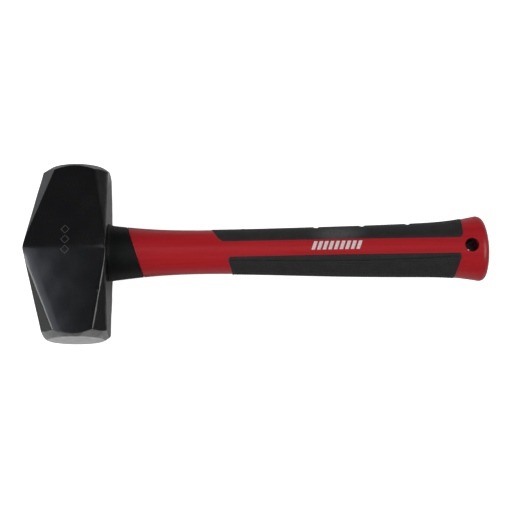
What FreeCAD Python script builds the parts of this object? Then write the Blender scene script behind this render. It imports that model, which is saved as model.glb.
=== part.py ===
import FreeCAD, Part
import math
import os

# Lump hammer with a forged head and a moulded fibreglass handle, in millimetres.
# The design frame has its origin in the middle of the head: X runs along the handle towards the
# butt, Y along the head from strike face to strike face, and Z is square to the cheeks.

# Head
head_length = 105.3  # strike face to strike face
strike_face_diameter = 34.2
strike_chamfer_slope = 0.71  # fall along the head for each millimetre outwards
end_across_flats = 39.5  # eight-sided section beside each strike face
end_facet_width = 23.1  # cheek and crown facets there; the four bevels take up the rest
cheek_ridge_spread = 50.0  # ridge to ridge across the middle of the head
crown_reach = 29.8  # head centre to the crown's ridge

# Eye through the head, wider at the crown so that the bond wedges in it
eye_height = 27.0
eye_width = 19.0
eye_flare = 1.5  # added all round at the crown
bond_recess = 0.6  # bond and rod end this far below the lowest edge of the eye's mouth

# Fibreglass rod
rod_height = 20.0
rod_thickness = 14.0
rod_to_hole_wall = 9.0  # solid plastic between the rod's end and the hang hole

# Handle outline: height along Y, thickness along Z
butt_reach = 248.8  # head centre to the end of the butt
shoulder_height = 34.4
shoulder_thickness = 27.6
throat_height = 29.3
throat_thickness = 24.4
throat_distance = 24.0  # behind the head
neck_height = 26.9
neck_thickness = 22.8
neck_distance = 62.0  # behind the head
swell_height = 29.2
swell_thickness = 26.4
swell_from_end = 109.0
palm_height = 32.3
palm_thickness = 28.4
palm_from_end = 45.0
flare_height = 35.5
flare_thickness = 28.4
flare_from_end = 19.0
butt_height = 42.6
butt_thickness = 28.8
neck_rise = 0.5  # the axis of the moulding bends a little: up behind the head,
palm_drop = 0.13  # down in the palm,
flare_rise = 0.3  # and up again towards
butt_rise = 0.65  # the butt

# Butt
dome_radius = 85.0
dome_drop = 2.4  # the dome's highest point lies this far below the handle's axis
butt_rounding = 4.5
hang_hole_diameter = 8.0
hang_hole_from_end = 10.75

# Collar between the head and the jacket
collar_length = 16.1  # along the handle's axis
slant = 0.327  # how far the moulded ends lean back for each millimetre down

# Soft grip panels
stripe_width = 9.2  # hard plastic left showing between the two panels
grip_depth = 1.8
grip_proud = 0.3
panel_corner = 3.0
upper_front_from_end = 161.8  # measured at the stripe
upper_front_slant = 0.58
upper_back_from_end = 15.65
lower_front_from_end = 157.8
lower_back_from_end = 16.05
lower_back_slant = 0.33
notch_radius = 1.7
notch_depth = 1.7
notch_spacing = 27.7
notch_count = 3
last_notch_from_end = 48.1

oval_points = 16  # through which each oval section is drawn
margin = 10.0  # how far cutting tools stand clear of what they cut
edge_slack = 0.01  # how near its nominal place an edge lies when it is picked out for rounding
upright_least = 0.5  # share of an edge's direction along Z that makes it upright

socket_reach = end_across_flats / 2
frame_shift = (butt_reach - crown_reach) / 2
frame_move = FreeCAD.Vector(-frame_shift, 0, cheek_ridge_spread / 2)


def between(start, end, share):
    return start + (end - start) * share


def facet_corner_reach():
    """How far from the head's middle the corners of its eight-sided ends lie, along Y."""
    corner_radius = math.hypot(end_across_flats, end_facet_width) / 2
    fall = (corner_radius - strike_face_diameter / 2) * strike_chamfer_slope
    return head_length / 2 - fall


def faceted_body():
    """The head's flat facets, carried on to the planes of the strike faces."""
    half_flats = end_across_flats / 2
    half_facet = end_facet_width / 2
    corner_reach = facet_corner_reach()
    share = head_length / 2 / corner_reach
    half_ridge = cheek_ridge_spread / 2
    faces = []

    def middle(x_side, z_side):
        reach = socket_reach if x_side > 0 else crown_reach
        return FreeCAD.Vector(x_side * reach, 0, z_side * half_ridge)

    def cheek_corner(x_side, y_side, z_side):
        corner = FreeCAD.Vector(x_side * half_facet, y_side * corner_reach, z_side * half_flats)
        return between(middle(x_side, z_side), corner, share)

    def side_corner(x_side, y_side, z_side):
        corner = FreeCAD.Vector(x_side * half_flats, y_side * corner_reach, z_side * half_facet)
        return between(middle(x_side, z_side), corner, share)

    def add(points):
        faces.append(Part.Face(Part.makePolygon(points + points[:1])))

    for y_side in (-1, 1):
        outline = []
        for z_side in (-1, 1):
            cheek = [cheek_corner(x_side, y_side, z_side) for x_side in (-1, 1)]
            add([middle(-1, z_side), middle(1, z_side), cheek[1], cheek[0]])
        for x_side in (-1, 1):
            side = [side_corner(x_side, y_side, z_side) for z_side in (-1, 1)]
            add([middle(x_side, -1), middle(x_side, 1), side[1], side[0]])
        for x_side, z_side in ((-1, -1), (-1, 1), (1, 1), (1, -1)):
            cheek_end = cheek_corner(x_side, y_side, z_side)
            side_end = side_corner(x_side, y_side, z_side)
            add([middle(x_side, z_side), cheek_end, side_end])
            pair = [cheek_end, side_end]
            outline += pair if x_side * z_side > 0 else pair[::-1]
        add(outline)
    return Part.makeSolid(Part.makeShell(faces))


def strike_turning():
    """A body of revolution about Y: flat strike faces with a conical chamfer round each."""
    face_radius = strike_face_diameter / 2
    chamfer_reach = crown_reach + cheek_ridge_spread / 2
    chamfer_fall = (chamfer_reach - face_radius) * strike_chamfer_slope
    half = head_length / 2
    points = [
        FreeCAD.Vector(0, -half, 0),
        FreeCAD.Vector(face_radius, -half, 0),
        FreeCAD.Vector(chamfer_reach, chamfer_fall - half, 0),
        FreeCAD.Vector(chamfer_reach, half - chamfer_fall, 0),
        FreeCAD.Vector(face_radius, half, 0),
        FreeCAD.Vector(0, half, 0),
    ]
    profile = Part.Face(Part.makePolygon(points + points[:1]))
    return profile.revolve(FreeCAD.Vector(0, 0, 0), FreeCAD.Vector(0, 1, 0), 360)


def oval(x, height, thickness, rise=0):
    """An oval wire square to the handle's axis."""
    points = []
    for index in range(oval_points):
        turn = 2 * math.pi * index / oval_points
        y = rise + math.cos(turn) * height / 2
        points.append(FreeCAD.Vector(x, y, math.sin(turn) * thickness / 2))
    curve = Part.BSplineCurve()
    curve.interpolate(points, PeriodicFlag=True)
    return Part.Wire(curve.toShape())


def oval_rod(start, end, height, thickness, end_height=None, end_thickness=None):
    last = oval(end, end_height or height, end_thickness or thickness)
    return Part.makeLoft([oval(start, height, thickness), last], True, True)


def crown_at(y):
    """X of the crown's surface at a height Y from its ridge."""
    slope = (crown_reach - end_across_flats / 2) / facet_corner_reach()
    return abs(y) * slope - crown_reach


def eye_space():
    front = socket_reach + margin
    back = -crown_reach - margin
    growth = 2 * eye_flare / (socket_reach + crown_reach)
    wide = growth * (socket_reach - back)
    narrow = growth * (socket_reach - front)
    return oval_rod(
        front, back, eye_height + narrow, eye_width + narrow, eye_height + wide, eye_width + wide
    )


def bond_end():
    """X where the bond and the rod stop, just inside the eye's mouth in the crown."""
    return crown_at(eye_height / 2 + eye_flare) + bond_recess


def rod_end():
    return butt_reach - hang_hole_from_end - hang_hole_diameter / 2 - rod_to_hole_wall


def make_rod():
    return oval_rod(bond_end(), rod_end(), rod_height, rod_thickness)


def slab(start, end):
    """Everything between two planes square to the handle's axis."""
    size = head_length + butt_reach
    corner = FreeCAD.Vector(start, -size / 2, -size / 2)
    return Part.makeBox(end - start, size, size, corner)


def make_head():
    body = faceted_body().common(strike_turning()).removeSplitter()
    return body.cut(eye_space())


def make_bond(rod):
    return eye_space().common(slab(bond_end(), socket_reach)).cut(rod)


def handle_body(added):
    """The handle's outside, from the head to the end of the butt, grown all round."""
    sizes = [
        (socket_reach, shoulder_height, shoulder_thickness, neck_rise),
        (socket_reach + throat_distance, throat_height, throat_thickness, neck_rise),
        (socket_reach + neck_distance, neck_height, neck_thickness, neck_rise),
        (butt_reach - swell_from_end, swell_height, swell_thickness, -palm_drop / 2),
        (butt_reach - palm_from_end, palm_height, palm_thickness, -palm_drop),
        (butt_reach - flare_from_end, flare_height, flare_thickness, flare_rise),
        (butt_reach, butt_height, butt_thickness, butt_rise),
    ]
    wires = []
    for x, height, thickness, rise in sizes:
        wires.append(oval(x, height + 2 * added, thickness + 2 * added, rise))
    return Part.makeLoft(wires, True, False)


def bore(x, y, radius):
    """A cylinder along Z through the whole thickness of the handle."""
    centre = FreeCAD.Vector(x, y, -cheek_ridge_spread / 2)
    return Part.makeCylinder(radius, cheek_ridge_spread, centre, FreeCAD.Vector(0, 0, 1))


def behind_butt():
    """What is cut away behind the end of the butt, which is domed over its height."""
    drum = bore(butt_reach - dome_radius, -dome_drop, dome_radius)
    return slab(butt_reach - dome_radius, butt_reach + margin).cut(drum)


def prism(points):
    """A plate through the whole thickness of the handle, from an outline in X and Y."""
    thick = cheek_ridge_spread
    corners = [FreeCAD.Vector(x, y, -thick / 2) for x, y in points]
    return Part.Face(Part.makePolygon(corners + corners[:1])).extrude(FreeCAD.Vector(0, 0, thick))


def collar_side():
    """The space on the head's side of the slanted joint between collar and jacket."""
    reach = head_length
    joint = socket_reach + collar_length
    lean = slant * reach
    return prism([(0, reach), (joint - lean, reach), (joint + lean, -reach), (0, -reach)])


def panel_area(side, front_from_end, front_slant, back_from_end, back_slant):
    """Where one grip panel lies, seen along Z, with round corners beside the stripe."""
    edge = side * stripe_width / 2
    far = side * (butt_height / 2 + margin)
    front = butt_reach - front_from_end
    back = butt_reach - back_from_end
    run = far - edge
    far_front = front - front_slant * run
    far_back = back + back_slant * run
    area = prism([(front, edge), (back, edge), (far_back, far), (far_front, far)])
    corners = []
    for part_edge in area.Edges:
        middle = part_edge.CenterOfMass
        upright = abs(part_edge.tangentAt(part_edge.FirstParameter).z) > upright_least
        if upright and abs(middle.y - edge) < edge_slack:
            corners.append(part_edge)
    return area.makeFillet(panel_corner, corners)


def notches():
    """Shallow cuts across the spine of the upper panel."""
    outside = handle_body(grip_proud)
    cuts = []
    for index in range(notch_count):
        x = butt_reach - last_notch_from_end - index * notch_spacing
        upright = Part.makeLine(FreeCAD.Vector(x, 0, 0), FreeCAD.Vector(x, head_length, 0))
        spine = upright.common(outside).BoundBox.YMax
        cuts.append(bore(x, spine + notch_radius - notch_depth, notch_radius))
    return Part.makeCompound(cuts)


def make_jacket(rod, panel_areas):
    body = handle_body(0).cut(behind_butt())
    hole_x = butt_reach - hang_hole_from_end
    end_edges = [edge for edge in body.Edges if edge.BoundBox.XMin > hole_x]
    body = body.makeFillet(butt_rounding, end_edges).cut(collar_side())
    hole = bore(hole_x, 0, hang_hole_diameter / 2)
    core_of_panels = handle_body(-grip_depth)
    for area in panel_areas:
        body = body.cut(area.cut(core_of_panels))
    return body.cut(hole).cut(rod)


def make_panel(area, rod):
    return handle_body(grip_proud).cut(handle_body(-grip_depth)).common(area).cut(rod)


def save(name, shape):
    solid = shape.copy()
    solid.translate(frame_move)
    solid.exportStep("parts/" + name + ".step")
    box = solid.optimalBoundingBox(True, False)
    print(
        name,
        "solids", len(solid.Solids),
        "valid", solid.isValid(),
        "volume %.0f mm3" % solid.Volume,
        "x %.1f..%.1f y %.1f..%.1f z %.1f..%.1f"
        % (box.XMin, box.XMax, box.YMin, box.YMax, box.ZMin, box.ZMax),
    )


os.makedirs("parts", exist_ok=True)
rod = make_rod()
upper_area = panel_area(1, upper_front_from_end, upper_front_slant, upper_back_from_end, 0)
lower_area = panel_area(-1, lower_front_from_end, slant, lower_back_from_end, lower_back_slant)
save("head", make_head())
save("fibreglass_rod", rod)
save("epoxy_bond", make_bond(rod))
save("collar", handle_body(0).common(collar_side()).cut(rod))
save("jacket", make_jacket(rod, [upper_area, lower_area]))
save("upper_grip", make_panel(upper_area, rod).cut(notches()))
save("lower_grip", make_panel(lower_area, rod))
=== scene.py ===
import math

import bmesh
import bpy
import numpy as np
from mathutils import Matrix, Vector


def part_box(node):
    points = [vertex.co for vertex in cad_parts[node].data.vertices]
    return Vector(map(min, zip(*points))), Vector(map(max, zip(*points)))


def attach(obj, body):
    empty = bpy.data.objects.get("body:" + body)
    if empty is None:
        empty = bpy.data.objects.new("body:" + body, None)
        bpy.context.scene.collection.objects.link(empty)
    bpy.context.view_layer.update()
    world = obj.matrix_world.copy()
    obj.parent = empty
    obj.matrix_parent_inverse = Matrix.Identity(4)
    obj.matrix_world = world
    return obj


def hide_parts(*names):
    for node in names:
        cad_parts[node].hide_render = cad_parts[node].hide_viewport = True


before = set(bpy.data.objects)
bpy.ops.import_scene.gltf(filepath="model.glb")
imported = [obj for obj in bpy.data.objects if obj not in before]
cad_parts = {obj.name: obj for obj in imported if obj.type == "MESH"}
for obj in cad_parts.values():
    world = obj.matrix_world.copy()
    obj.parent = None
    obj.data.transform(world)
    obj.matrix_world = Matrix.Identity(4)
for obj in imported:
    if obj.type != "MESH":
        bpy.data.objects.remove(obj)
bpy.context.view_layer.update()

mm = 0.001

# The head is drawn in millimetres about its own middle, as the CAD part is: x towards the butt,
# y from face to face, z out of the cheeks. toFrame puts it in the frame.
head = dict(
    length=105.3,
    faceRadius=17.1,
    chamferSlope=0.71,  # fall per millimetre outwards
    halfFlats=19.75,
    halfFacet=11.55,
    halfRidge=25.0,
    crownReach=29.8,
    ridgeSoftness=0.16,  # how far the cheek ridge is rounded
    edgeSoftness=0.20,  # and the edges of the bevels on the handle's side
    crownSoftness=0.08,  # and on the crown's side
    rollDepth=0.35,  # towards the near face the cheek rolls over before its edge on the crown's side
    rollWidth=4.5,
    rollLimit=1.3,
    rollFrom=2.0,  # y where the roll begins
    rollFade=8.0,
    cheekSag=0.30,  # the cheeks are forged a little round from side to side
    sagMiddle=-3.0,
    sagReach=17.0,
    crownSide=4.0,  # x where the edges turn from the handle's kind to the crown's
    crownFade=12.0,
    lip=0.35,  # rounding where the grinding meets the lacquer
    nearRim=0.8,  # and round the strike faces
    farRim=0.3,
    waviness=0.035,  # unevenness that the hammer dies leave
    sideColumns=[12, 46, 12, 40, 12, 46, 12, 40],  # bevel, cheek, bevel, crown, and round again
    crowding=0.8,  # how much closer the columns stand beside the edges
    dents=[  # from forging: place, radius and depth
        (15.2, -25.4, 22.4, 1.0, 0.4),
        (13.8, 38.0, -20.3, 1.4, 0.4),
        (-16.5, -30.0, -21.0, 1.2, 0.3),
    ],
)

headLow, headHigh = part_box("head")
middle = Vector((
    headLow.x + head["crownReach"] * mm,
    (headLow.y + headHigh.y) / 2,
    (headLow.z + headHigh.z) / 2,
))
sharpAngle = 40  # edges that turn by more degrees than this stay crisp


def toFrame(points):
    return np.asarray(points, float) * mm + np.array(middle)


def share(start, end, count):
    return np.linspace(start, end, count)


def around(count):
    return share(0, 2 * math.pi, count + 1)[:-1]


def crowded(count, pull):
    even = np.linspace(0, 1, count)
    return even * (1 - pull) + (0.5 - 0.5 * np.cos(np.pi * even)) * pull  # closer together at both ends


def smoothStep(value):
    value = np.clip(value, 0, 1)
    return value * value * (3 - 2 * value)


def bend(first, corner, last, steps, weight=0.72):
    # a near-circular corner from first to last, pulled towards corner
    rows = []
    for t in np.linspace(0, 1, steps):
        a, b, c = (1 - t) ** 2, 2 * t * (1 - t) * weight, t * t
        rows.append((first * a + corner * b + last * c) / (a + b + c))
    return rows


def lastInside(low, high, inside, rounds):
    # the furthest value between low and high for which inside still holds
    for _ in range(rounds):
        trial = (low + high) / 2
        held = inside(trial)
        low, high = np.where(held, trial, low), np.where(held, high, trial)
    return low


def solidMesh(name, points, faces, materials):
    mesh = bpy.data.meshes.new(name)
    mesh.from_pydata(toFrame(points).tolist(), [], faces)
    for material in materials:
        mesh.materials.append(material)
    return mesh


def facesOutward(mesh):
    work = bmesh.new()
    work.from_mesh(mesh)
    bmesh.ops.recalc_face_normals(work, faces=work.faces)
    work.to_mesh(mesh)
    work.free()


def shadeSmooth(mesh):
    mesh.shade_smooth()
    mesh.set_sharp_from_angle(angle=math.radians(sharpAngle))


def newObject(name, data):
    made = bpy.data.objects.new(name, data)
    bpy.context.scene.collection.objects.link(made)
    return made


def finishMesh(name, points, faces, materials, faceMaterial=None, slot=None, replaced=()):
    mesh = solidMesh(name, points, faces, materials)
    if faceMaterial is not None:
        mesh.polygons.foreach_set("material_index", np.asarray(faceMaterial, np.int32))
    facesOutward(mesh)
    shadeSmooth(mesh)
    piece = newObject(name, mesh)
    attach(piece, "root")
    if replaced:
        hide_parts(*replaced)
    return piece


def tube(rings, poles=None):
    # points and faces through the rings: a fan to a pole closes each end, or last and first are joined
    columns = len(rings[0])
    across = np.arange(columns)
    following = (across + 1) % columns
    pairs = [(row, row + 1) for row in range(len(rings) - 1)]
    if poles is None:
        pairs.append((len(rings) - 1, 0))
    faces = []
    for low, high in pairs:
        low, high = low * columns, high * columns
        faces += np.stack([low + across, low + following, high + following, high + across], 1).tolist()
    points = np.concatenate(rings)
    if poles is not None:
        pole, last = len(points), len(points) - columns
        faces += [[pole, int(b), int(a)] for a, b in zip(across, following)]
        faces += [[pole + 1, int(last + a), int(last + b)] for a, b in zip(across, following)]
        points = np.concatenate([points, poles])
    return points, faces


def sheet(upper, lower):
    # points and faces of a thin solid between two grids of points
    rows, columns = upper.shape[:2]
    index = np.arange(rows * columns).reshape(rows, columns)
    under = index + rows * columns
    grids = (index, under[:, ::-1])
    quads = []
    for g in grids:
        quads.append(np.stack([g[:-1, :-1], g[1:, :-1], g[1:, 1:], g[:-1, 1:]], -1).reshape(-1, 4))
    border = np.concatenate([index[:, 0], index[-1, 1:], index[::-1, -1][1:], index[0, ::-1][1:-1]])
    following = np.roll(border, -1)
    quads.append(np.stack([border, following, following + rows * columns, border + rows * columns], -1))
    return np.concatenate([upper.reshape(-1, 3), lower.reshape(-1, 3)]), np.concatenate(quads)


# forged head

def headPlanes():
    # (normal, distance) of every facet, in families so that ridges and bevel edges round differently
    h = head
    pastFace = math.hypot(h["halfFlats"], h["halfFacet"]) - h["faceRadius"]
    cornerReach = h["length"] / 2 - pastFace * h["chamferSlope"]

    def plane(a, b, c):
        a, b, c = (np.array(p, float) for p in (a, b, c))
        normal = np.cross(b - a, c - a)
        normal /= np.linalg.norm(normal)
        if normal @ a < 0:
            normal = -normal
        return normal, normal @ a

    ridgePairs, bevels = [], []
    for z in (-1, 1):
        pair = []
        for y in (-1, 1):
            end = (0, y * cornerReach, z * h["halfFlats"])
            pair.append(plane((-1, 0, z * h["halfRidge"]), (1, 0, z * h["halfRidge"]), end))
        ridgePairs.append(pair)
    for x, reach in ((-1, h["crownReach"]), (1, h["halfFlats"])):
        pair = []
        for y in (-1, 1):
            end = (x * h["halfFlats"], y * cornerReach, 0)
            pair.append(plane((x * reach, 0, -1), (x * reach, 0, 1), end))
        ridgePairs.append(pair)
    for x, reach in ((-1, h["crownReach"]), (1, h["halfFlats"])):
        for z in (-1, 1):
            for y in (-1, 1):
                top = (x * reach, 0, z * h["halfRidge"])
                cheekEnd = (x * h["halfFacet"], y * cornerReach, z * h["halfFlats"])
                sideEnd = (x * h["halfFlats"], y * cornerReach, z * h["halfFacet"])
                bevels.append(plane(top, cheekEnd, sideEnd))
    return ridgePairs, bevels, cornerReach


ridgePairs, bevels, cornerReach = headPlanes()


def softMax(values, softness):
    top = np.maximum.reduce(values)
    return top + softness * np.log(sum(np.exp((value - top) / softness) for value in values))


def wornEdge(y):
    # how much rounder or sharper than usual an edge is at y
    return 1 + 0.45 * np.sin(0.31 * y + 1.0) + 0.25 * np.sin(0.83 * y + 0.4)


def dieWaves(x, y, z):
    # slow waves over the whole forging, never below zero
    long = np.sin(x * 0.21 + y * 0.13 + 0.7) * np.sin(y * 0.17 - z * 0.11 + 1.9)
    short = 0.6 * np.sin(x * 0.37 - y * 0.29 + z * 0.23)
    return long + short + 1.7


def forgedHeight(x, y, z):
    # above zero outside the forging, below zero inside it
    h = head
    sides = []
    for pair in ridgePairs:
        sides.append(softMax([n[0] * x + n[1] * y + n[2] * z - d for n, d in pair], h["ridgeSoftness"]))
    for n, d in bevels:
        sides.append(n[0] * x + n[1] * y + n[2] * z - d)
    edgeX = (h["crownReach"] - h["halfFacet"]) * np.abs(y) / cornerReach - h["crownReach"]
    roll = np.clip((edgeX + h["rollWidth"] - x) / h["rollWidth"], 0, h["rollLimit"]) ** 2
    roll = roll * smoothStep((h["rollFrom"] - y) / h["rollFade"])
    sag = h["cheekSag"] * ((x - h["sagMiddle"]) / h["sagReach"]) ** 2 + h["rollDepth"] * roll
    sides[0], sides[1] = sides[0] + sag, sides[1] + sag  # the two cheeks
    towardsCrown = smoothStep((h["crownSide"] - x) / h["crownFade"])
    softness = h["edgeSoftness"] * wornEdge(y) * (1 - towardsCrown) + h["crownSoftness"] * towardsCrown
    height = softMax(sides, softness) + h["waviness"] * dieWaves(x, y, z)
    for px, py, pz, radius, depth in h["dents"]:
        away = ((x - px) ** 2 + (y - py) ** 2 + (z - pz) ** 2) / radius ** 2
        height = height + depth * np.exp(-away)
    return height


def sectionPoint(columns, y):
    # where each column would cross the sharp-edged section at y; columns run from 0 to 8, a side each
    h = head
    t = np.clip(np.abs(y) / cornerReach, 0.07, 1.2)

    def corner(index):
        index = index % 8
        xSide = np.where(np.isin(index, (0, 1, 6, 7)), 1, -1)
        zSide = np.where(index < 4, 1, -1)
        onCheek = np.isin(index, (1, 2, 5, 6))
        reach = np.where(xSide > 0, h["halfFlats"], h["crownReach"])
        endX = np.where(onCheek, h["halfFacet"], h["halfFlats"])
        endZ = np.where(onCheek, h["halfFlats"], h["halfFacet"])
        x = xSide * (reach + (endX - reach) * t)
        return x, zSide * (h["halfRidge"] + (endZ - h["halfRidge"]) * t)

    side = np.floor(columns).astype(int)
    part = columns - side
    x0, z0 = corner(side)
    x1, z1 = corner(side + 1)
    return x0 + (x1 - x0) * part, z0 + (z1 - z0) * part


def forgedPoint(columns, y):
    x, z = sectionPoint(columns, y)
    reach = np.hypot(x, z)

    def inForging(trial):
        return forgedHeight(x / reach * trial, y, z / reach * trial) < 0

    found = lastInside(reach * 0 + 5.0, reach * 0 + 60.0, inForging, 34)
    return np.stack([x / reach * found, y + 0 * x, z / reach * found], -1)


def makeHead(lacquer, chamferSteel, faceSteel, shadedFarSteel):
    h = head
    columns = []
    for side, count in enumerate(h["sideColumns"]):
        columns.append(side + crowded(count + 1, h["crowding"])[:-1])
    columns = np.concatenate(columns)

    def overChamfer(y, sign):
        point = forgedPoint(columns, sign * y)
        cone = h["faceRadius"] + (h["length"] / 2 - y) / h["chamferSlope"]
        return np.hypot(point[:, 0], point[:, 2]) - cone

    ends = {}
    for sign in (-1, 1):
        low, high = columns * 0 + 44.0, columns * 0 + h["length"] / 2
        ends[sign] = lastInside(low, high, lambda trial: overChamfer(trial, sign) < 0, 26)
    nearRidge, ringReach = [0, 0.35, 0.75, 1.2, 1.8, 2.6, 3.6], 49.0
    half = np.concatenate([np.array(nearRidge) / ringReach, share(4.8, ringReach, 74) / ringReach])
    spots = np.concatenate([-half[::-1], half[1:]])
    lip = h["lip"]
    grounds = {}  # each end's rings from the lacquer to the middle of the face, and their kinds
    for sign in (-1, 1):
        faceRim = h["farRim"] if sign > 0 else h["nearRim"]
        corner = forgedPoint(columns, sign * ends[sign])
        before = forgedPoint(columns, sign * (ends[sign] - lip))
        spread = np.hypot(corner[:, 0], corner[:, 2])
        out = corner / spread[:, None]
        out[:, 1] = 0

        def onCone(radius):
            point = out * radius[:, None]
            point[:, 1] = sign * (h["length"] / 2 - (radius - h["faceRadius"]) * h["chamferSlope"])
            return point

        rim = onCone(spread * 0 + h["faceRadius"])
        rows = bend(before, corner, onCone(spread - lip), 5)
        kinds = [0, 0, 1, 1, 1]  # 0 lacquer, 1 chamfer, 2 face, 3 far chamfer
        for t in share(0, 1, 9)[1:-1]:
            rows.append(onCone((spread - lip) * (1 - t) + (h["faceRadius"] + faceRim) * t))
            kinds.append(1)
        flat = out * (h["faceRadius"] - faceRim)
        flat[:, 1] = sign * h["length"] / 2
        rows += bend(onCone(spread * 0 + h["faceRadius"] + faceRim), rim, flat, 7)
        kinds += [1, 1, 1, 1, 2, 2, 2]
        for t in share(0, 1, 14)[1:-1]:
            inner = flat * (1 - t)
            inner[:, 1] = sign * h["length"] / 2
            rows.append(inner)
            kinds.append(2)
        # the far end's chamfer takes a darker copy of the chamfer steel: painted shade
        if sign > 0:
            kinds = [3 if kind == 1 else kind for kind in kinds]
        grounds[sign] = (rows, kinds)
    rings, ringKinds = grounds[-1][0][::-1], grounds[-1][1][::-1]
    for spot in spots[1:-1]:
        reach = ends[1 if spot > 0 else -1] - lip
        rings.append(forgedPoint(columns, spot * reach))
        ringKinds.append(0)
    rings += grounds[1][0]
    ringKinds += grounds[1][1]
    points, faces = tube(rings, [[0, -h["length"] / 2, 0], [0, h["length"] / 2, 0]])
    kinds = []
    for row in range(len(rings) - 1):
        kinds += [ringKinds[row] if row < len(rings) // 2 else ringKinds[row + 1]] * len(columns)
    kinds += [2] * (2 * len(columns))
    finishes = [lacquer, chamferSteel, faceSteel, shadedFarSteel]
    return finishMesh("forgedHead", points, faces, finishes, kinds, "head_steel", ["head"])


# moulded handle

handle = dict(
    start=19.75,  # where the head's side and the handle meet
    butt=248.8,
    stations=[  # x, height, thickness, rise
        (19.75, 34.4, 27.6, 0.5),
        (43.75, 29.3, 24.4, 0.5),
        (81.75, 26.9, 22.8, 0.5),
        (139.8, 29.2, 26.4, -0.065),
        (203.8, 32.3, 28.4, -0.13),
        (229.8, 35.5, 28.4, 0.3),
        (248.8, 42.6, 28.8, 0.65),
    ],
    domeRadius=85.0,
    domeDrop=2.4,
    buttRounding=4.5,
    holeRadius=4.0,
    holeFromEnd=10.75,
    holeRim=0.35,
    rimTurn=68,  # degrees of the rim's quarter round that are cut
    rimSpread=1.25,  # where the cutter leaves the surface, in rims
    cutterProud=0.9,
    cutterReach=17.5,
    holeTaper=0.75,  # how much narrower the hang hole is at the back
    jointStart=35.85,  # slanted joint between collar and jacket, on the axis
    jointSlant=0.327,
    jointRounding=0.45,
    jointGap=0.06,  # half the slit between collar and jacket
    rootGap=0.05,
    rootFlare=0.9,  # the collar spreads a little over the spine where it meets the head
    rootFade=1.2,
    rodHeight=20.0,
    rodThickness=14.0,
    rodEnd=225.05,
)


def naturalCurve(xs, ys):
    # smooth curve through the stations
    xs, ys = np.array(xs, float), np.array(ys, float)
    gaps = np.diff(xs)
    slopes = np.diff(ys) / gaps
    count = len(xs)
    grid = np.eye(count)
    right = np.zeros(count)
    for i in range(1, count - 1):
        grid[i, i - 1: i + 2] = gaps[i - 1], 2 * (gaps[i - 1] + gaps[i]), gaps[i]
        right[i] = 6 * (slopes[i] - slopes[i - 1])
    curl = np.linalg.solve(grid, right)

    def at(x):
        x = np.asarray(x, float)
        i = np.clip(np.searchsorted(xs, x) - 1, 0, count - 2)
        a, b = (xs[i + 1] - x) / gaps[i], (x - xs[i]) / gaps[i]
        lift = ((a ** 3 - a) * curl[i] + (b ** 3 - b) * curl[i + 1]) * gaps[i] ** 2 / 6
        return a * ys[i] + b * ys[i + 1] + lift

    return at


stationX, heights, thicknesses, rises = zip(*handle["stations"])
heightAt = naturalCurve(stationX, heights)
thicknessAt = naturalCurve(stationX, thicknesses)
riseAt = naturalCurve(stationX, rises)


def skin(x, turn, added=0.0):
    # a point on the handle's outside: turn 0 on the spine, a quarter on the front, half on the belly
    y = riseAt(x) + (heightAt(x) / 2 + added) * np.cos(turn)
    z = (thicknessAt(x) / 2 + added) * np.sin(turn)
    return np.stack(np.broadcast_arrays(x, y, z), -1).astype(float)


def frontZ(x, y):
    # how far the handle's surface lies in front of its middle plane
    level = (y - riseAt(x)) / (heightAt(x) / 2)
    return thicknessAt(x) / 2 * np.sqrt(1 - level ** 2)


def jointX(turn, added=0.0):
    x = handle["jointStart"] + 0 * turn
    for _ in range(5):
        x = handle["jointStart"] - handle["jointSlant"] * skin(x, turn, added)[:, 1]
    return x


def boreRing(x, turn):
    y, z = handle["rodHeight"] / 2 * np.cos(turn), handle["rodThickness"] / 2 * np.sin(turn)
    return np.stack(np.broadcast_arrays(x, y, z), -1).astype(float)


def boreJoint(turn):
    return handle["jointStart"] - handle["jointSlant"] * handle["rodHeight"] / 2 * np.cos(turn)


def makeCollar(material):
    h = handle
    turn = around(160)
    start, end, lip = h["start"] + h["rootGap"], jointX(turn) - h["jointGap"], h["jointRounding"]
    rings = [boreRing(start + 0 * turn, turn)]
    for t in share(0, 1, 40)[:-1] ** 1.6:
        x = start * (1 - t) + (end - lip) * t
        flare = h["rootFlare"] * np.exp(-(x - start) / h["rootFade"]) * (0.5 + 0.5 * np.cos(turn))
        rings.append(skin(x, turn, flare))
    face = skin(end + lip * h["jointSlant"] * np.cos(turn), turn, -lip)
    rings += bend(skin(end - lip, turn), skin(end, turn), face, 6)
    boreEnd = boreJoint(turn) - h["jointGap"]
    rings.append(boreRing(boreEnd, turn))
    for t in share(1, 0, 5)[1:-1]:
        rings.append(boreRing(start * (1 - t) + boreEnd * t, turn))
    return finishMesh("collarSleeve", *tube(rings), [material], slot="collar_black", replaced=["collar"])


# soft grip panels: where they lie, seen from the front

grips = dict(
    stripeHalf=4.6,
    depth=1.6,
    proud=0.3,
    rim=0.8,  # rounding of the panels' edges
    corner=3.0,
    stepFrom=1.4,  # the jacket steps down this far in from a panel's border
    stepWidth=0.6,
    footFrom=0.8,  # and the panel's own underside from here
    footWidth=1.6,
    footRise=0.5,
    girth=44.0,  # about how far round the handle a panel reaches, for spacing the columns
    nibSpread=0.3,  # moulding nibs
    upper=dict(
        side=1, front=87.0, frontSlant=0.58, back=233.15, backSlant=0.0,
        nibs=[(101.0, 0.15, 0.3), (218.0, -0.1, 0.25)],  # x, turn and height
    ),
    lower=dict(
        side=-1, front=91.0, frontSlant=-0.327, back=232.75, backSlant=-0.33,
        nibs=[(94.5, math.pi + 0.1, 0.3), (214.5, math.pi - 0.1, 0.35), (227.0, math.pi, 0.3)],
    ),
    notches=[145.3, 173.0, 200.7],
    notchRadius=1.7,
    notchDepth=1.7,
)

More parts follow.
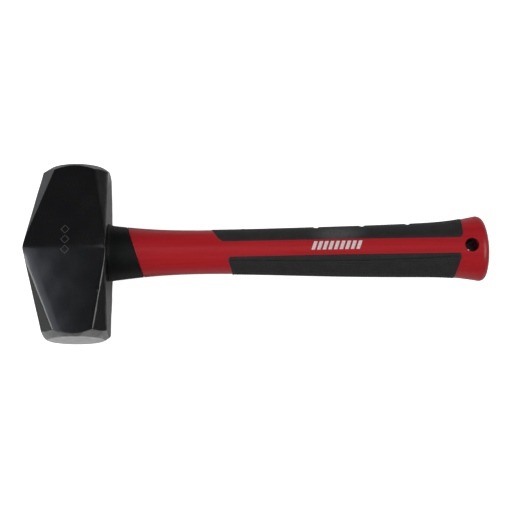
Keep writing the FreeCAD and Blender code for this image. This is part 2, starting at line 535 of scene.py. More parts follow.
lowerGroove = dict(
    line=[(85, 7.0), (101, 7.3), (130, 8.1), (160, 8.6), (206, 8.0), (225, 7.2), (240, 6.6)],  # x and y
    depth=0.6,
    width=0.33,
    endFrom=0.8,  # where it fades before the panel's ends
    endWidth=1.2,
    pitch=1.5,  # of the field of pips past it
    pip=0.2,
    pipFoot=0.05,
    fieldFrom=0.7,
    fieldWidth=0.5,
    fieldEndFrom=1.8,
    fieldEndWidth=0.8,
)
bandLine = naturalCurve(*zip(*lowerGroove["line"]))


def panelEnds(panel, y):
    # x of both ends of a panel at a height y, with round corners beside the stripe
    run = np.clip(panel["side"] * y - grips["stripeHalf"], 0, None)
    corner = grips["corner"]
    rounded = corner - np.sqrt(np.clip(corner ** 2 - (corner - run) ** 2, 0, None))
    cut = np.where(run < corner, rounded, 0)
    front = panel["front"] - panel["frontSlant"] * run + cut
    back = panel["back"] + panel["backSlant"] * run - cut
    return front, back


def toPanelEnd(panel, x, front, back):
    # distance to the nearer end, square to it
    frontWay, backWay = math.hypot(1, panel["frontSlant"]), math.hypot(1, panel["backSlant"])
    return np.minimum((x - front) / frontWay, (back - x) / backWay)


def insidePanel(panel, x, y):
    # distance in from the panel's border, below zero outside it
    front, back = panelEnds(panel, y)
    run = panel["side"] * y - grips["stripeHalf"]
    return np.minimum(run, toPanelEnd(panel, x, front, back))


def domeX(y):
    h = handle
    return h["butt"] - h["domeRadius"] + np.sqrt(h["domeRadius"] ** 2 - (y + h["domeDrop"]) ** 2)


def makeJacket(material, holeShadeMaterial):
    h, g = handle, grips
    turn = around(240)
    lip, rounding = h["jointRounding"], h["buttRounding"]
    start = jointX(turn) + h["jointGap"]
    end = h["butt"] + 0 * turn
    for _ in range(12):
        end = domeX(skin(end, turn)[:, 1])
    boreStart = boreJoint(turn) + h["jointGap"]
    rings = [boreRing(h["rodEnd"] + 0 * turn, turn)]
    for t in share(0, 1, 40)[1:]:
        rings.append(boreRing(h["rodEnd"] * (1 - t) + boreStart * t, turn))
    face = skin(start + lip * h["jointSlant"] * np.cos(turn), turn, -lip)
    rings += bend(face, skin(start, turn), skin(start + lip, turn), 6)
    for t in share(0, 1, 300)[1:]:
        x = (start + lip) * (1 - t) + (end - rounding) * t
        ring = skin(x, turn)
        sunk = 0  # the jacket steps down under the panels
        for panel in (g["upper"], g["lower"]):
            inside = insidePanel(panel, ring[:, 0], ring[:, 1])
            sunk = sunk - g["depth"] * smoothStep((inside - g["stepFrom"]) / g["stepWidth"])
        rings.append(skin(x, turn, sunk))
    corner = skin(end, turn)
    centre = np.array([0, riseAt(h["butt"]), 0])
    reach = np.linalg.norm((corner - centre)[:, 1:], axis=1)

    def onDome(scale):
        ring = centre + (corner - centre) * scale[:, None]
        ring[:, 0] = domeX(ring[:, 1])
        return ring

    rings += bend(skin(end - rounding, turn), corner, onDome(1 - rounding / reach), 14)[1:]
    for t in share(1, 0, 16)[1:-1]:
        rings.append(onDome((1 - rounding / reach) * t))
    poles = [[h["rodEnd"], 0, 0], [float(domeX(centre[1])), centre[1], 0]]
    points, faces = tube(rings, poles)
    made = finishMesh("handleJacket", points, faces, [material], slot="jacket_red", replaced=["jacket"])
    # the hole's walls take the painted shade
    cutHole(made, holeShadeMaterial)


def cutHole(jacket, holeShadeMaterial):
    # the hang hole, with rounded rims on both sides
    h = handle
    turn = around(96)
    centreX = h["butt"] - h["holeFromEnd"]
    radius, rim = h["holeRadius"], h["holeRim"]

    def ring(reach, drop):
        x, y = centreX + reach * np.cos(turn), reach * np.sin(turn)
        return np.stack([x, y, frontZ(x, y) - drop], -1)

    upper = []
    for angle in share(0, math.radians(h["rimTurn"]), 9):
        upper.append(ring(radius + rim * (1 - math.cos(angle)), rim * (1 - math.sin(angle))))
    upper.append(ring(radius + rim * h["rimSpread"], -h["cutterProud"]))
    backwards = (radius - h["holeTaper"]) / radius
    lower = []
    for points in upper:
        narrowed = points * (1, backwards, -1)
        narrowed[:, 0] = centreX + (points[:, 0] - centreX) * backwards
        lower.append(narrowed)
    between = []
    for t in share(0, 1, 10)[1:-1]:
        between.append(lower[0] * (1 - t) + upper[0] * t)
    poles = [[centreX, 0, -h["cutterReach"]], [centreX, 0, h["cutterReach"]]]
    cutWith(jacket, lower[::-1] + between + upper, poles, holeShadeMaterial)


def cutWith(piece, rings, poles, inside):
    # the cut surfaces take the material called inside
    mesh = solidMesh("cutter", *tube(rings, poles), [inside])
    facesOutward(mesh)
    cutter = newObject("cutter", mesh)
    cut = piece.modifiers.new("cut", "BOOLEAN")
    cut.object, cut.operation, cut.solver, cut.material_mode = cutter, "DIFFERENCE", "EXACT", "TRANSFER"
    bpy.context.view_layer.update()
    ready = piece.evaluated_get(bpy.context.evaluated_depsgraph_get())
    result = bpy.data.meshes.new_from_object(ready)
    piece.modifiers.clear()
    piece.data = result
    shadeSmooth(result)
    bpy.data.objects.remove(cutter)


def makeGrip(name, which, material, replaced, groove=None, notches=()):
    g = grips
    panel = g[which]
    side, middleTurn = panel["side"], 0 if panel["side"] > 0 else math.pi
    rim, depth, proud, girth = g["rim"], g["depth"], g["proud"], g["girth"]
    edgeSteps = np.array([0, 0.03, 0.1, 0.2, 0.34, 0.52, 0.72, 1.0]) * rim
    length = panel["back"] - panel["front"]
    alongMid = share(rim, length - rim, 400)[1:-1]
    along = np.concatenate([edgeSteps, alongMid, length - edgeSteps[::-1]]) / length
    acrossMid = share(rim, girth - rim, 126)[1:-1]
    across = np.concatenate([edgeSteps, acrossMid, girth - edgeSteps[::-1]]) / girth * 2 - 1
    u, v = np.meshgrid(along, across, indexing="ij")
    x = panel["front"] + u * length
    for _ in range(6):
        top = heightAt(x) / 2 + proud
        reach = np.arccos(np.clip((side * g["stripeHalf"] - riseAt(x)) / top * side, -1, 1))
        turn = v * reach + middleTurn
        y = riseAt(x) + top * np.cos(turn)
        front, back = panelEnds(panel, y)
        x = front + u * (back - front)
    toEnd = toPanelEnd(panel, x, front, back)
    toSide = (1 - np.abs(v)) * reach * (heightAt(x) + thicknessAt(x)) / 4
    inside = np.clip(np.minimum(toEnd, toSide), 0, None)
    raised = proud - rim + np.sqrt(np.clip(rim ** 2 - (rim - np.minimum(inside, rim)) ** 2, 0, None))
    if groove:
        # a smooth band beside the stripe, a groove, then a field of small pips
        past = side * (y - side * bandLine(x))
        reached = smoothStep((toEnd - groove["endFrom"]) / groove["endWidth"])
        raised = raised - groove["depth"] * np.exp(-(past / groove["width"]) ** 2) * reached
        field = smoothStep((past - groove["fieldFrom"]) / groove["fieldWidth"])
        field = field * smoothStep((toEnd - groove["fieldEndFrom"]) / groove["fieldEndWidth"])
        arc = (turn - middleTurn) * (heightAt(x) + thicknessAt(x)) / 4
        pitch = groove["pitch"]
        pips = np.cos(math.pi * (x + arc) / pitch) * np.cos(math.pi * (x - arc) / pitch)
        pips = field * groove["pip"] * np.sign(pips) * np.abs(pips) ** 0.7
        raised = raised - field * groove["pipFoot"] + pips
    for nibX, nibTurn, tall in panel["nibs"]:
        away = (x - nibX) ** 2 + ((turn - nibTurn) * thicknessAt(x) / 2) ** 2
        raised = raised + tall * np.exp(-away / g["nibSpread"])
    outer = skin(x, turn, raised)
    for notchX in notches:
        spine = riseAt(notchX) + heightAt(notchX) / 2 + proud
        away = np.clip(g["notchRadius"] ** 2 - (x - notchX) ** 2, 0, None)
        floor = spine + g["notchRadius"] - g["notchDepth"] - np.sqrt(away)
        outer[..., 1] = np.minimum(outer[..., 1], np.where(away > 0, floor, np.inf))
    foot = smoothStep((inside - g["footFrom"]) / g["footWidth"])
    inner = skin(x, turn, -g["footRise"] - (depth - g["footRise"]) * foot)
    points, faces = sheet(outer, inner)
    return finishMesh(name, points, faces.tolist(), [material], slot="grip_black", replaced=[replaced])


# what shows in the eye at the crown

eye = dict(
    height=27.0,
    width=19.0,
    flare=1.5,
    cutFrom=-40.0,
    cutTo=30.0,
    bondEnd=-26.1,
    bondSunk=0.55,
    bondGap=0.02,
    meniscus=0.9,  # how far the bond creeps up the eye's wall
    wallFade=5.0,
    rodMeniscus=0.35,  # and up the rod
    rodFade=9.0,
    bondFoot=0.15,  # how far its bore stops short of bondEnd
    bondLip=0.2,  # and its outside goes past it
)
rod = dict(
    fit=0.996,  # its size in its bore
    sawMarks=0.05,
    edgeShrink=0.04,
    brokenEdge=0.3,
    endGap=0.1,
    endRise=0.05,
)


def eyeRing(x, turn, added=0.0):
    growth = 2 * eye["flare"] / (handle["start"] + head["crownReach"]) * (handle["start"] - x)
    y = (eye["height"] / 2 + growth / 2 + added) * np.cos(turn)
    z = (eye["width"] / 2 + growth / 2 + added) * np.sin(turn)
    return np.stack(np.broadcast_arrays(x, y, z), -1).astype(float)


def cutEye(headPiece, inside):
    turn = around(128)
    rings = [eyeRing(x + 0 * turn, turn) for x in share(eye["cutFrom"], eye["cutTo"], 24)]
    cutWith(headPiece, rings, [[eye["cutFrom"], 0, 0], [eye["cutTo"], 0, 0]], inside)


def bondRipple(turn, t):
    # uneven surface of the cured bond, from the rod at t 0 to the eye's wall at t 1
    swell = math.sin(math.pi * t)
    waves = 0.12 * np.sin(3 * turn + 1.1) * swell + 0.07 * np.sin(7 * turn + t * 5)
    return waves * swell


def makeBond(material):
    # fills the eye round the rod; at the crown it creeps up the wall and the rod
    turn = around(128)
    start, end, gap = eye["bondEnd"], handle["start"], -eye["bondGap"]
    rings = []
    for t in share(0, 1, 24):
        rings.append(boreRing(end * (1 - t) + (start + eye["bondFoot"]) * t, turn))
    wall = eyeRing(start + 0 * turn, turn, gap)
    core = boreRing(start + 0 * turn, turn)
    for t in share(0, 1, 22)[1:]:
        ring = core * (1 - t) + wall * t
        creep = eye["rodMeniscus"] * math.exp(-t * eye["rodFade"])
        creep += eye["meniscus"] * math.exp(-(1 - t) * eye["wallFade"])
        ring[:, 0] = start + eye["bondSunk"] - creep + bondRipple(turn, t)
        rings.append(ring)
    for t in share(0, 1, 24)[1:]:
        rings.append(eyeRing((start - eye["bondLip"]) * (1 - t) + end * t, turn, gap))
    return finishMesh("epoxyFill", *tube(rings), [material], slot="bond_epoxy", replaced=["epoxy_bond"])


def makeRod(material):
    # the core rod, sawn off at the crown, with a small broken edge
    turn = around(128)
    start, end, fit = eye["bondEnd"], handle["rodEnd"] - rod["endGap"], rod["fit"]

    def ring(x, size):
        whole = boreRing(x + 0 * turn, turn)
        whole[:, 1:] *= size
        return whole

    rings = []
    for t in share(0.02, 1, 20):
        face = ring(start, fit * t - rod["edgeShrink"] * t ** 8)
        face[:, 0] += rod["sawMarks"] * np.sin(face[:, 1] * 3.1 + 0.4 * face[:, 2]) * (1 - t ** 6)
        rings.append(face)
    for t in share(0, 1, 120):
        rings.append(ring((start + rod["brokenEdge"]) * (1 - t) + end * t, fit))
    for t in share(0.9, 0.05, 6):
        rings.append(ring(end + rod["endRise"], t))
    points, faces = tube(rings, [[start, 0, 0], [end + rod["endRise"], 0, 0]])
    slot, replaced = "rod_fibreglass", ["fibreglass_rod"]
    return finishMesh("fibreglassCore", points, faces, [material], slot=slot, replaced=replaced)


# marks

marks = dict(
    barStart=141.8,  # a plain row of slanted bars in white ink on the stripe
    barEnd=172.0,
    barCount=9,
    barWidth=2.1,
    barSlant=0.35,
    barLow=-1.6,
    barHigh=3.6,
    lift=0.03,
    sunk=0.06,
    diamondPlaces=[(-4.4, -1.6), (-4.4, 4.6), (-4.4, 10.8)],  # three plain diamonds etched in the cheek
    diamondReach=2.6,
    diamondLine=0.4,
    diamondLift=0.012,
)


def joinPatches(name, outlines, material):
    # one piece of thin patches: each outline is a grid of points on a surface, thickened downwards
    points, faces, count = [], [], 0
    for outline in outlines:
        patchPoints, patchFaces = sheet(outline, outline - (0, 0, marks["sunk"]))
        points.append(patchPoints)
        faces.append(patchFaces + count)
        count += len(patchPoints)
    return finishMesh(name, np.concatenate(points), np.concatenate(faces).tolist(), [material])


def makeBars(material):
    m = marks
    pitch = (m["barEnd"] - m["barStart"]) / m["barCount"]
    s, t = np.meshgrid(share(0, 1, 5), share(0, 1, 7), indexing="ij")
    outlines = []
    for index in range(m["barCount"]):
        left = m["barStart"] + index * pitch
        y = m["barLow"] + (m["barHigh"] - m["barLow"]) * t
        x = left + s * m["barWidth"] + (y - m["barLow"]) * m["barSlant"]
        outlines.append(np.stack([x, y, frontZ(x, y) + m["lift"]], -1))
    return joinPatches("stripeBars", outlines, material)


def makeDiamonds(material):
    m = marks
    reach = m["diamondReach"] - share(m["diamondLine"], 0, 3)
    a, r = np.meshgrid(share(0, 2 * math.pi, 49), reach, indexing="ij")
    r = r / (np.abs(np.cos(a)) + np.abs(np.sin(a)))
    outlines = []
    for centreX, centreY in m["diamondPlaces"]:
        x, y = centreX + r * np.cos(a), centreY + r * np.sin(a)
        z = lastInside(x * 0 + 15.0, x * 0 + 30.0, lambda trial: forgedHeight(x, y, trial) < 0, 30)
        outlines.append(np.stack([x, y, z + m["diamondLift"]], -1))
    return joinPatches("cheekDiamonds", outlines, material)


# materials

def node(tree, kind, inputs=None, **settings):
    made = tree.nodes.new(kind)
    for key, value in settings.items():
        setattr(made, key, value)
    for key, value in (inputs or {}).items():
        if isinstance(value, bpy.types.NodeSocket):
            tree.links.new(value, made.inputs[key])
        else:
            made.inputs[key].default_value = value
    return made


def calculated(tree, operation, first, second, clamped=False):
    made = node(tree, "ShaderNodeMath", {0: first, 1: second}, operation=operation, use_clamp=clamped)
    return made.outputs[0]


def vectorCalculated(tree, operation, first, second):
    return node(tree, "ShaderNodeVectorMath", {0: first, 1: second}, operation=operation).outputs[0]


def objectPlace(tree):
    return node(tree, "ShaderNodeTexCoord").outputs["Object"]


def noiseAt(tree, spot, scale, detail, **others):
    inputs = {"Vector": spot, "Scale": scale, "Detail": detail, **others}
    return node(tree, "ShaderNodeTexNoise", inputs).outputs["Fac"]


def ramped(tree, value, start, end, **settings):
    limits = {"Value": value, "From Min": start, "From Max": end}
    return node(tree, "ShaderNodeMapRange", limits, **settings).outputs["Result"]


def newGroup(name, inputs, outputs):
    # inputs: name and first value, a number or three; outputs: names of numbers
    group = bpy.data.node_groups.new(name, "ShaderNodeTree")
    for label, value in inputs.items():
        kind = "NodeSocketVector" if isinstance(value, tuple) else "NodeSocketFloat"
        group.interface.new_socket(name=label, in_out="INPUT", socket_type=kind).default_value = value
    for label in outputs:
        group.interface.new_socket(name=label, in_out="OUTPUT", socket_type="NodeSocketFloat")
    return group, group.nodes.new("NodeGroupInput").outputs, group.nodes.new("NodeGroupOutput").inputs


def makeGrainGroup():
    # even or stretched noise, as a height about the middle and a mask
    inputs = {"Stretch": (1000, 1000, 1000), "Detail": 3.0, "Contrast": 1.0}
    group, inside, outside = newGroup("surfaceGrain", inputs, ["Height", "Mask"])
    spot = vectorCalculated(group, "MULTIPLY", objectPlace(group), inside["Stretch"])
    noise = noiseAt(group, spot, 1.0, inside["Detail"], Roughness=0.55)
    centred = calculated(group, "SUBTRACT", noise, 0.5)
    scaled = calculated(group, "MULTIPLY", centred, inside["Contrast"])
    group.links.new(scaled, outside["Height"])
    group.links.new(calculated(group, "ADD", scaled, 0.5, clamped=True), outside["Mask"])
    return group


def makeWearGroup():
    # where edges stand out and get rubbed, broken up by noise
    inputs = {"Start": 0.53, "End": 0.6, "Patch Size": 300.0, "Break Up": 0.5}
    group, inside, outside = newGroup("edgeWear", inputs, ["Mask"])
    pointiness = node(group, "ShaderNodeNewGeometry").outputs["Pointiness"]
    edge = ramped(group, pointiness, inside["Start"], inside["End"])
    noise = noiseAt(group, objectPlace(group), inside["Patch Size"], 4.0)
    broken = ramped(group, noise, inside["Break Up"], 0.75)
    group.links.new(calculated(group, "MULTIPLY", edge, broken, clamped=True), outside["Mask"])
    return group


def makeDustGroup():
    # a few pale specks, or bubbles
    group, inside, outside = newGroup("dustSpecks", {"Size": 900.0, "Amount": 0.06}, ["Mask"])
    cellInputs = {"Vector": objectPlace(group), "Scale": inside["Size"]}
    cells = node(group, "ShaderNodeTexVoronoi", cellInputs, feature="F1")
    speck = calculated(group, "LESS_THAN", cells.outputs["Distance"], inside["Amount"])
    group.links.new(speck, outside["Mask"])
    return group


def makePaleSpotGroup():
    # a soft-edged patch round one place, broken up by noise
    inputs = {"Centre": (0, 0, 0), "Reach": (0.01, 0.01, 0.01), "Patch Size": 700.0}
    group, inside, outside = newGroup("paleSpotPatch", inputs, ["Mask"])
    spot = objectPlace(group)
    away = vectorCalculated(group, "SUBTRACT", spot, inside["Centre"])
    shares = vectorCalculated(group, "DIVIDE", away, inside["Reach"])
    length = node(group, "ShaderNodeVectorMath", {0: shares}, operation="LENGTH").outputs["Value"]
    near = ramped(group, length, 1.0, 0.1, interpolation_type="SMOOTHSTEP")
    broken = ramped(group, noiseAt(group, spot, inside["Patch Size"], 4.0), 0.0, 0.5)
    group.links.new(calculated(group, "MULTIPLY", near, broken, clamped=True), outside["Mask"])
    return group


grainGroup = makeGrainGroup()
wearGroup = makeWearGroup()
dustGroup = makeDustGroup()
paleSpotGroup = makePaleSpotGroup()


def place(tree, group, **inputs):
    made = tree.nodes.new("ShaderNodeGroup")
    made.node_tree = group
    for key, value in inputs.items():
        made.inputs[key.replace("_", " ")].default_value = value
    return made.outputs


def mixColour(tree, factor, first, second):
    made = node(tree, "ShaderNodeMix", data_type="RGBA")
    for key, value in ((0, factor), (6, first), (7, second)):
        if isinstance(value, bpy.types.NodeSocket):
            tree.links.new(value, made.inputs[key])
        else:
            made.inputs[key].default_value = value
    return made.outputs[2]


def spanned(tree, mask, low, high):
    limits = {"Value": mask, "To Min": low, "To Max": high}
    return node(tree, "ShaderNodeMapRange", limits).outputs["Result"]


def bumped(tree, height, strength, distance, normal=None):
    made = node(tree, "ShaderNodeBump", {"Height": height, "Strength": strength, "Distance": distance})
    if normal is not None:
        tree.links.new(normal, made.inputs["Normal"])
    return made.outputs["Normal"]


def newMaterial(name, values):
    material = bpy.data.materials.new(name)
    material.use_nodes = True
    tree = material.node_tree
    shader = tree.nodes["Principled BSDF"]
    for key, value in values.items():
        shader.inputs[key].default_value = value
    return material, tree, shader


def dress(tree, shader, colour, rough, normal):
    tree.links.new(colour, shader.inputs["Base Color"])
    tree.links.new(rough, shader.inputs["Roughness"])
    tree.links.new(normal, shader.inputs["Normal"])


def makeLacquer():
    # glossy black over a forged skin, rubbed thin on the edges
    colours = dict(
        black=(0.0045, 0.0046, 0.0052, 1),
        rubbed=(0.035, 0.036, 0.039, 1),
        dust=(0.08, 0.08, 0.08, 1),
    )
    gloss = {"IOR": 1.5, "Coat Weight": 0.35, "Coat Roughness": 0.12}
    material, tree, shader = newMaterial("blackLacquer", gloss)
    wear = place(tree, wearGroup, Start=0.52, End=0.6, Patch_Size=420.0, Break_Up=0.3)["Mask"]
    broad = place(tree, grainGroup, Stretch=(60, 60, 60), Detail=2.0, Contrast=1.6)
    fine = place(tree, grainGroup, Stretch=(1500, 1500, 1500), Detail=3.0, Contrast=1.0)
    dust = place(tree, dustGroup, Size=300.0, Amount=0.02)["Mask"]
    colour = mixColour(tree, wear, colours["black"], colours["rubbed"])
    colour = mixColour(tree, dust, colour, colours["dust"])
    rough = spanned(tree, wear, spanned(tree, broad["Mask"], low=0.20, high=0.30), 0.6)
    normal = bumped(tree, broad["Height"], strength=0.35, distance=0.0003)
    normal = bumped(tree, fine["Height"], strength=0.12, distance=0.00005, normal=normal)
    dress(tree, shader, colour, rough, normal)
    return material


def makeGroundSteel(name, dull, bright, low, high):
    # ground, with fine wheel marks running across the head; low and high are the limits of roughness
    material, tree, shader = newMaterial(name, {"Metallic": 1.0})
    wheelMarks = place(tree, grainGroup, Stretch=(250, 900, 3600), Detail=4.0, Contrast=1.8)
    patches = place(tree, grainGroup, Stretch=(170, 170, 170), Detail=4.0, Contrast=1.7)
    colour = mixColour(tree, patches["Mask"], dull, bright)
    rough = spanned(tree, wheelMarks["Mask"], low, high)
    normal = bumped(tree, wheelMarks["Height"], strength=0.6, distance=0.00012)
    dress(tree, shader, colour, rough, normal)
    return material


def makeRed():
    # hard red plastic with faint flow lines along the handle
    colours = dict(
        deep=(0.47, 0.012, 0.018, 1),
        light=(0.58, 0.020, 0.028, 1),
        rubbed=(0.70, 0.12, 0.12, 1),
    )
    material, tree, shader = newMaterial("redPlastic", {"IOR": 1.5, "Specular IOR Level": 0.4})
    flow = place(tree, grainGroup, Stretch=(12, 420, 420), Detail=3.0, Contrast=1.8)
    fine = place(tree, grainGroup, Stretch=(1400, 1400, 1400), Detail=3.0, Contrast=1.0)
    wear = place(tree, wearGroup, Start=0.56, End=0.7, Patch_Size=600.0, Break_Up=0.5)["Mask"]
    colour = mixColour(tree, flow["Mask"], colours["deep"], colours["light"])
    colour = mixColour(tree, wear, colour, colours["rubbed"])
    normal = bumped(tree, flow["Height"], strength=0.12, distance=0.0001)
    normal = bumped(tree, fine["Height"], strength=0.2, distance=0.00006, normal=normal)
    dress(tree, shader, colour, spanned(tree, flow["Mask"], low=0.27, high=0.35), normal)
    return material


def makePaintedHoleShade():
    # red plastic darkened inside the hang hole: painted shade, standing in for the shade in the hole
    colours = dict(deepestShade=(0.035, 0.004, 0.004, 1), palerShade=(0.14, 0.008, 0.010, 1))
    material, tree, shader = newMaterial("paintedHoleShade", {"IOR": 1.5, "Specular IOR Level": 0.25})
    patches = place(tree, grainGroup, Stretch=(500, 500, 200), Detail=4.0, Contrast=2.2)
    colour = mixColour(tree, patches["Mask"], colours["deepestShade"], colours["palerShade"])
    rough = spanned(tree, patches["Mask"], low=0.7, high=0.5)
    dress(tree, shader, colour, rough, bumped(tree, patches["Height"], strength=0.4, distance=0.0002))
    return material


def makeRubber(name, colours, low, high, paleSpotCentre, reach):
    # black thermoplastic, matt with a fine eroded skin; the last two arguments place a paler patch and
    # give its reach: on the grip a painted highlight, on the collar a paler spot near the head
    material, tree, shader = newMaterial(name, {"IOR": 1.45, "Specular IOR Level": 0.35})
    fine = place(tree, grainGroup, Stretch=(2600, 2600, 2600), Detail=4.0, Contrast=1.6)
    patches = place(tree, grainGroup, Stretch=(140, 260, 260), Detail=3.0, Contrast=1.5)
    wear = place(tree, wearGroup, Start=0.54, End=0.64, Patch_Size=700.0, Break_Up=0.42)["Mask"]
    dust = place(tree, dustGroup, Size=650.0, Amount=0.05)["Mask"]
    reach = [length * mm for length in reach]
    paleSpotMask = place(tree, paleSpotGroup, Centre=toFrame(paleSpotCentre).tolist(), Reach=reach)["Mask"]
    colour = mixColour(tree, patches["Mask"], colours["deep"], colours["pale"])
    colour = mixColour(tree, wear, colour, colours["rubbed"])
    # the paler patch: on the grip a painted highlight
    colour = mixColour(tree, paleSpotMask, colour, colours["paleSpot"])
    colour = mixColour(tree, dust, colour, colours["dust"])
    rough = spanned(tree, fine["Mask"], low, high)
    dress(tree, shader, colour, rough, bumped(tree, fine["Height"], strength=0.5, distance=0.00012))
    return material


def makeFibreglass():
    # ends of glass strands in a pale resin; along its side the strands run lengthwise
    colours = dict(resin=(0.30, 0.23, 0.10, 1), glass=(0.62, 0.58, 0.42, 1))
    material, tree, shader = newMaterial("fibreglass", {"IOR": 1.5})
    strands = place(tree, grainGroup, Stretch=(90, 2600, 2600), Detail=2.0, Contrast=3.0)
    colour = mixColour(tree, strands["Mask"], colours["resin"], colours["glass"])
    rough = spanned(tree, strands["Mask"], low=0.35, high=0.7)
    dress(tree, shader, colour, rough, bumped(tree, strands["Height"], strength=0.5, distance=0.00015))
    return material


def makeEpoxy():
    # dark cured resin with small bubbles
    colours = dict(
        resin=(0.02, 0.016, 0.012, 1),
        cloudy=(0.05, 0.04, 0.03, 1),
        bubble=(0.10, 0.085, 0.06, 1),
    )
    gloss = {"IOR": 1.55, "Coat Weight": 0.5, "Coat Roughness": 0.08}
    material, tree, shader = newMaterial("epoxyResin", gloss)
    cloud = place(tree, grainGroup, Stretch=(320, 320, 320), Detail=3.0, Contrast=2.0)
    bubbles = place(tree, dustGroup, Size=520.0, Amount=0.16)["Mask"]
    colour = mixColour(tree, cloud["Mask"], colours["resin"], colours["cloudy"])
    colour = mixColour(tree, bubbles, colour, colours["bubble"])
    normal = bumped(tree, cloud["Height"], strength=0.4, distance=0.0004)
    normal = bumped(tree, bubbles, strength=0.4, distance=0.0001, normal=normal)
    dress(tree, shader, colour, spanned(tree, cloud["Mask"], low=0.12, high=0.3), normal)
    return material


def makeMarkMaterial(name, thin, full, size, low, high):
    # ink or etching, thin and full in specks
    material, tree, shader = newMaterial(name, {"IOR": 1.5})
    speckle = place(tree, grainGroup, Stretch=(size, size, size), Detail=3.0, Contrast=2.6)
    colour = mixColour(tree, speckle["Mask"], thin, full)
    rough = spanned(tree, speckle["Mask"], low, high)
    dress(tree, shader, colour, rough, bumped(tree, speckle["Height"], strength=0.3, distance=0.00004))
    return material


lacquer = makeLacquer()
steels = dict(
    chamferSteel=dict(dull=(0.15, 0.15, 0.15, 1), bright=(0.42, 0.42, 0.41, 1), low=0.3, high=0.5),
    # darker copy of the chamfer steel for the far end: painted shade
    shadedFarSteel=dict(dull=(0.08, 0.08, 0.08, 1), bright=(0.24, 0.24, 0.235, 1), low=0.34, high=0.5),
    faceSteel=dict(dull=(0.42, 0.42, 0.41, 1), bright=(0.72, 0.71, 0.69, 1), low=0.28, high=0.45),
)
chamferSteel, shadedFarSteel, faceSteel = [makeGroundSteel(name, **values) for name, values in steels.items()]
redPlastic = makeRed()
# painted shade for the walls of the hang hole
paintedHoleShade = makePaintedHoleShade()
gripColours = dict(
    deep=(0.020, 0.020, 0.0205, 1), pale=(0.031, 0.031, 0.0315, 1), rubbed=(0.055, 0.055, 0.056, 1),
    paleSpot=(0.095, 0.095, 0.095, 1), dust=(0.10, 0.10, 0.10, 1),
)
collarColours = dict(
    deep=(0.005, 0.0055, 0.0055, 1), pale=(0.008, 0.0085, 0.0085, 1), rubbed=(0.03, 0.03, 0.03, 1),
    paleSpot=(0.012, 0.012, 0.012, 1), dust=(0.05, 0.05, 0.05, 1),
)
# the upper grip's paler patch is a painted highlight on its shoulder
gripFinish = dict(low=0.52, high=0.7, paleSpotCentre=(158, 8.5, 11.3), reach=(21, 8, 11))
collarFinish = dict(low=0.4, high=0.55, paleSpotCentre=(26, 12, 8), reach=(5, 4, 8))
gripRubber = makeRubber("gripRubber", gripColours, **gripFinish)
collarPlastic = makeRubber("collarPlastic", collarColours, **collarFinish)
fibreglass = makeFibreglass()
epoxy = makeEpoxy()
inkFinish = dict(thin=(0.74, 0.62, 0.62, 1), full=(0.94, 0.91, 0.91, 1), size=1600, low=0.45, high=0.6)
etchedFinish = dict(thin=(0.03, 0.03, 0.03, 1), full=(0.13, 0.13, 0.13, 1), size=2600, low=0.5, high=0.7)
whiteInk = makeMarkMaterial("whiteInk", **inkFinish)
etching = makeMarkMaterial("etching", **etchedFinish)

# making

forgedHead = makeHead(lacquer, chamferSteel, faceSteel, shadedFarSteel)
cutEye(forgedHead, lacquer)
print("head made")
makeCollar(collarPlastic)
makeJacket(redPlastic, paintedHoleShade)
print("collar and jacket made")
makeGrip("upperGrip", "upper", gripRubber, "upper_grip", notches=grips["notches"])
makeGrip("lowerGrip", "lower", gripRubber, "lower_grip", groove=lowerGroove)
print("grips made")
makeBond(epoxy)
makeRod(fibreglass)
makeBars(whiteInk)
makeDiamonds(etching)
print("bond, rod and marks made")

# floor, light and camera

studio = dict(
    floorWhite=(0.84, 0.84, 0.84, 1),
    floorGlow=0.95,  # only as the camera sees it, so that the paper looks evenly white
    floorDull=(0.78, 0.78, 0.78, 1),
    floorReach=6.0,
    floorLines=13,
    skyLow=(0.13, 0.133, 0.137, 1),
    skyHigh=(0.06, 0.06, 0.063, 1),
    skyTurn=0.9,  # height on the sky where it has changed from low to high
)
lamps = dict(
    leftBox=dict(spot=(-1.15, -0.1, 0.85), aim=(-0.03, 0, 0.02), size=(0.8, 0.9), power=11),
    rightBox=dict(spot=(1.1, -0.05, 0.95), aim=(0, 0, 0), size=(0.8, 0.8), power=7),
    ceilingBox=dict(
        spot=(-0.75, -0.2, 1.25), aim=(-0.6, -0.15, 0), size=(0.7, 0.8), power=2.2,
        colour=(0.80, 0.87, 1.0),
    ),
    handleBox=dict(spot=(0.0, 0.26, 1.3), aim=(0.0, 0, 0), size=(0.22, 0.22), power=0.25),
)


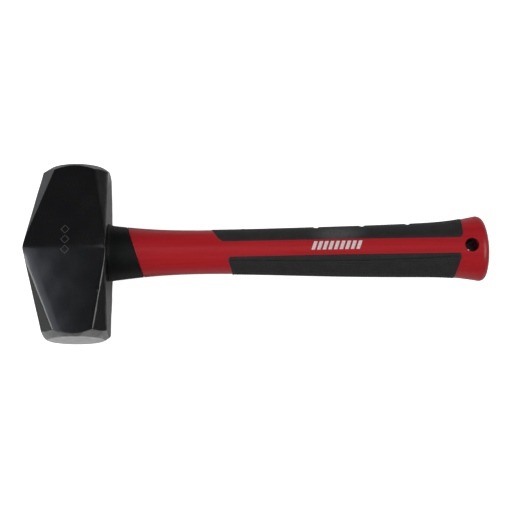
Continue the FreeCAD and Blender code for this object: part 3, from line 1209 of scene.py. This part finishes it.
def makeFloor():
    reach, lines = studio["floorReach"], studio["floorLines"]
    mesh = bpy.data.meshes.new("studioFloor")
    steps = share(-reach, reach, lines)
    x, y = np.meshgrid(steps, steps, indexing="ij")
    points = np.stack([x, y, 0 * x], -1).reshape(-1, 3)
    index = np.arange(lines * lines).reshape(lines, lines)
    quads = np.stack([index[:-1, :-1], index[1:, :-1], index[1:, 1:], index[:-1, 1:]], -1).reshape(-1, 4)
    mesh.from_pydata(points.tolist(), [], quads.tolist())
    floor = newObject("studioFloor", mesh)
    paper = {"Roughness": 0.9, "Specular IOR Level": 0.0, "Emission Strength": studio["floorGlow"]}
    material, tree, shader = newMaterial("palePaper", paper)
    seen = node(tree, "ShaderNodeLightPath").outputs["Is Camera Ray"]
    tree.links.new(mixColour(tree, seen, (0, 0, 0, 1), (1, 1, 1, 1)), shader.inputs["Emission Color"])
    fibre = place(tree, grainGroup, Stretch=(900, 900, 900), Detail=2.0, Contrast=0.6)["Mask"]
    colour = mixColour(tree, fibre, studio["floorDull"], studio["floorWhite"])
    tree.links.new(colour, shader.inputs["Base Color"])
    mesh.materials.append(material)


def makeLight(name, spot, aim, size, power, colour=(1, 1, 1)):
    light = bpy.data.lights.new(name, "AREA")
    light.shape, light.size, light.size_y = "RECTANGLE", size[0], size[1]
    light.energy, light.color = power, colour
    lamp = newObject(name, light)
    lamp.location = spot
    lamp.rotation_mode = "QUATERNION"
    lamp.rotation_quaternion = (Vector(aim) - Vector(spot)).to_track_quat("-Z", "Y")


def makeSky():
    world = bpy.data.worlds.new("studioSky")
    bpy.context.scene.world = world
    world.use_nodes = True
    tree = world.node_tree
    direction = node(tree, "ShaderNodeTexCoord").outputs["Generated"]
    parts = node(tree, "ShaderNodeSeparateXYZ", {0: direction})
    rise = ramped(tree, parts.outputs["Z"], 0.0, studio["skyTurn"], interpolation_type="SMOOTHSTEP")
    colour = mixColour(tree, rise, studio["skyLow"], studio["skyHigh"])
    tree.links.new(colour, tree.nodes["Background"].inputs["Color"])


makeFloor()
makeSky()
for name, values in lamps.items():
    makeLight(name, **values)

camera = dict(lens=99.85, sensor=36.0, distance=0.860, lean=11.5, roll=0.8, aim=(-108.03, 0.14))


def makeCamera():
    c = camera
    data = bpy.data.cameras.new("studioCamera")
    data.lens, data.sensor_width = c["lens"], c["sensor"]
    data.clip_start, data.clip_end = 0.01, 50.0
    viewer = newObject("studioCamera", data)
    roll = Matrix.Rotation(math.radians(c["roll"]), 3, "Z")
    back = (roll @ Matrix.Rotation(math.radians(-c["lean"]), 3, "X")).transposed()
    viewer.rotation_mode = "QUATERNION"
    viewer.rotation_quaternion = back.to_quaternion()
    viewer.location = middle + back @ Vector((-c["aim"][0] * mm, -c["aim"][1] * mm, c["distance"]))
    bpy.context.scene.camera = viewer


makeCamera()
view = bpy.context.scene.view_settings
view.view_transform, view.look, view.exposure, view.gamma = "Standard", "None", 0.0, 1.0
print("studio made")

bpy.context.view_layer.update()
